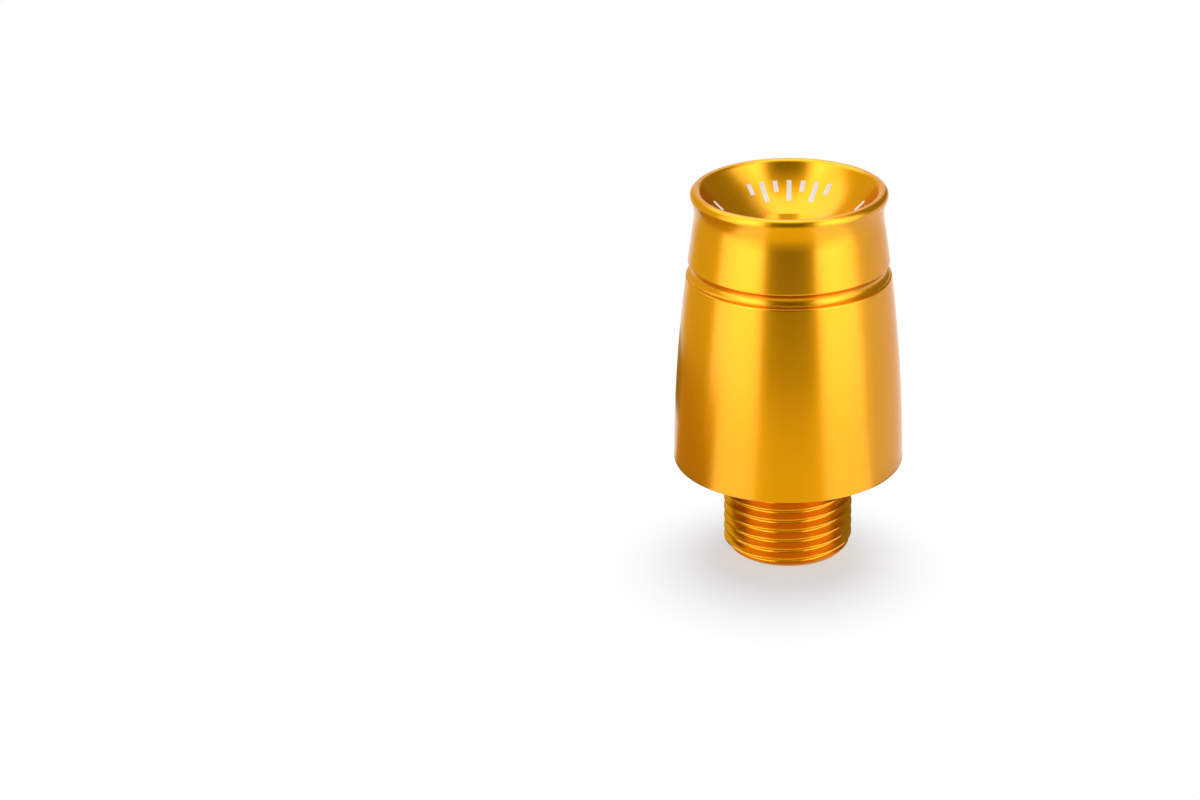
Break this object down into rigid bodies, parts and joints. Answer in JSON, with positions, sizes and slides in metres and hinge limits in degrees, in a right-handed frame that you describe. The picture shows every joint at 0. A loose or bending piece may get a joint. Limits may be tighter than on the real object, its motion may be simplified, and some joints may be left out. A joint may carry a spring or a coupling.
{
  "type": "bar end weight",
  "caption": "Turned handlebar end weight with a tapered body, a grooved head with a flared, dished end, a hexagon socket and a threaded stud.",
  "frame": {"origin": "centre of the flat end of the threaded stud, which the weight stands on", "axes": "+Z along the axis of the weight, from the stud to the dished head"},
  "size_m": [0.0318, 0.0318, 0.0528],
  "materials": {
    "gold_anodised_aluminium": "satin, turned and dyed gold",
    "white_print": "matte printed marks"
  },
  "bodies": {
    "root": {"bar_end_weight": "gold_anodised_aluminium"}
  },
  "joints": []
}
